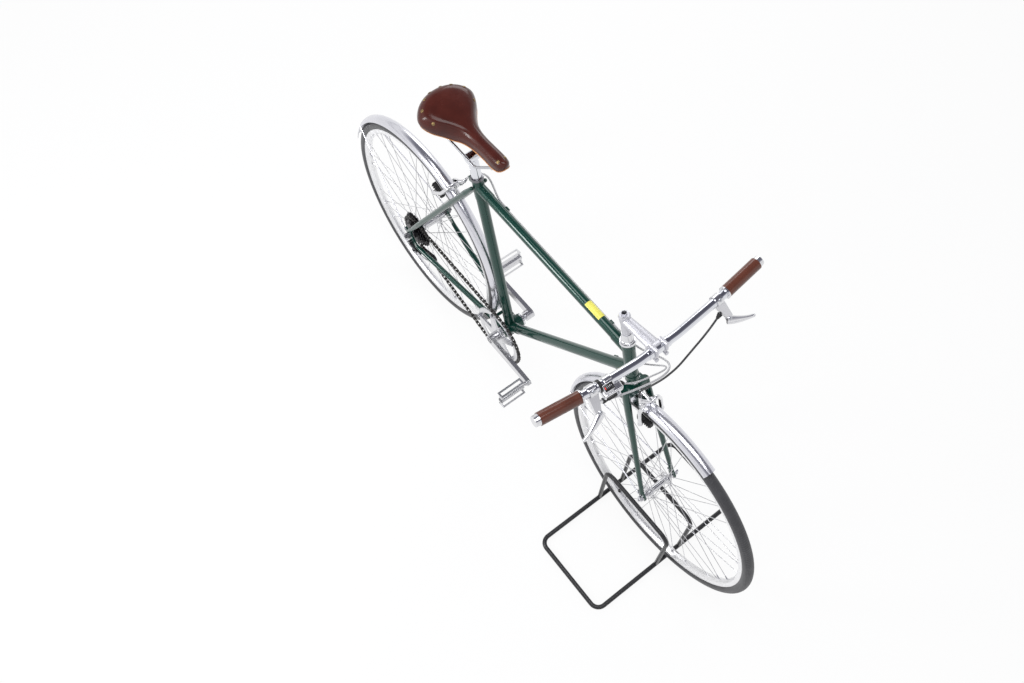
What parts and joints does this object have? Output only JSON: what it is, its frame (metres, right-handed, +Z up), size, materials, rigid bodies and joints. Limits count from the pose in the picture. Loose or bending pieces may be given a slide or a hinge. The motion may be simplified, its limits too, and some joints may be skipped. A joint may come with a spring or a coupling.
{
  "type": "city bicycle",
  "caption": "City bicycle with a lugged steel frame, chromed mudguards, leather saddle, derailleur gears and a floor stand holding its front wheel.",
  "frame": {"origin": "on the floor, midway between the rearmost and foremost points, in the middle plane of the wheels", "axes": "+X forward, +Y to the rider's left, +Z up"},
  "size_m": [1.7281, 0.6592, 0.9927],
  "materials": {
    "green_paint": "gloss",
    "polished_metal": "polished",
    "chromed_steel": "polished",
    "steel": "satin",
    "dark_steel": "satin",
    "black_plastic": "matte",
    "saddle_leather": "gloss",
    "grip_leather": "satin",
    "tyre": "matte",
    "black_paint": "satin",
    "cable_grey": "satin"
  },
  "bodies": {
    "frame": {"head_tube": "green_paint", "top_tube": "green_paint", "down_tube": "green_paint", "seat_tube": "green_paint", "bottom_bracket_shell": "green_paint", "bottom_bracket_cups": "polished_metal", "chainstay_left": "green_paint", "chainstay_right": "green_paint", "seatstay_left": "green_paint", "seatstay_right": "green_paint", "stay_bridges": "green_paint", "headset_cups": "polished_metal", "seatpost": "polished_metal", "saddle_cover": "saddle_leather", "saddle_frame": "steel", "rear_axle": "polished_metal", "rear_brake": "polished_metal", "rear_mudguard": "chromed_steel", "rear_mudguard_stays": "chromed_steel", "rear_derailleur": "dark_steel", "chain": "dark_steel", "rear_brake_pads": "black_plastic", "cable_guide": "black_plastic", "brake_cable_rear": "cable_grey", "gear_cable_rear": "cable_grey"},
    "steering": {"fork": "green_paint", "headset_nut": "polished_metal", "stem": "polished_metal", "handlebar": "polished_metal", "grip_left": "grip_leather", "grip_right": "grip_leather", "grip_rings": "polished_metal", "brake_lever_left": "polished_metal", "brake_lever_right": "polished_metal", "shifter": "black_plastic", "front_axle": "polished_metal", "front_brake": "polished_metal", "front_mudguard": "chromed_steel", "front_mudguard_stays": "chromed_steel", "stand": "black_paint", "front_brake_pads": "black_plastic", "brake_cable_front": "black_plastic", "brake_cable_loop": "cable_grey", "gear_cable_loop": "cable_grey"},
    "front_wheel": {"front_tyre": "tyre", "front_rim": "polished_metal", "front_hub": "polished_metal", "front_spokes": "steel"},
    "rear_wheel": {"rear_tyre": "tyre", "rear_rim": "polished_metal", "rear_hub": "polished_metal", "rear_spokes": "steel"},
    "sprockets": {"cassette": "dark_steel"},
    "crankset": {"chainrings": "polished_metal", "crank_right": "polished_metal", "crank_left": "polished_metal", "bottom_bracket_spindle": "steel"},
    "pedal_right": {"pedal_right": "steel"},
    "pedal_left": {"pedal_left": "steel"}
  },
  "joints": [
    {"name": "steering_turn", "type": "hinge", "parent": "frame", "child": "steering", "pos_m": [0.32553, 0, 0.77185], "axis": [-0.3173, 0, 0.9483], "range_deg": [-75, 75], "deforming": ["brake_cable_loop", "gear_cable_loop"]},
    {"name": "front_wheel_spin", "type": "hinge", "parent": "steering", "child": "front_wheel", "pos_m": [0.52208, 0, 0.342], "axis": [0, 1, 0], "continuous": true},
    {"name": "rear_wheel_spin", "type": "hinge", "parent": "frame", "child": "rear_wheel", "pos_m": [-0.51792, 0, 0.342], "axis": [0, 1, 0], "continuous": true},
    {"name": "crank_spin", "type": "hinge", "parent": "frame", "child": "crankset", "pos_m": [-0.11092, 0, 0.293], "axis": [0, 1, 0], "continuous": true},
    {"name": "sprocket_spin", "type": "hinge", "parent": "frame", "child": "sprockets", "pos_m": [-0.51792, 0, 0.342], "axis": [0, 1, 0], "continuous": true},
    {"name": "pedal_right_spin", "type": "hinge", "parent": "crankset", "child": "pedal_right", "pos_m": [0.05908, -0.136, 0.293], "axis": [0, 1, 0], "continuous": true},
    {"name": "pedal_left_spin", "type": "hinge", "parent": "crankset", "child": "pedal_left", "pos_m": [-0.28092, 0.136, 0.293], "axis": [0, 1, 0], "continuous": true}
  ],
  "couplings": [
    {"joint": "sprocket_spin", "follows": "crank_spin", "ratio": 2}
  ]
}
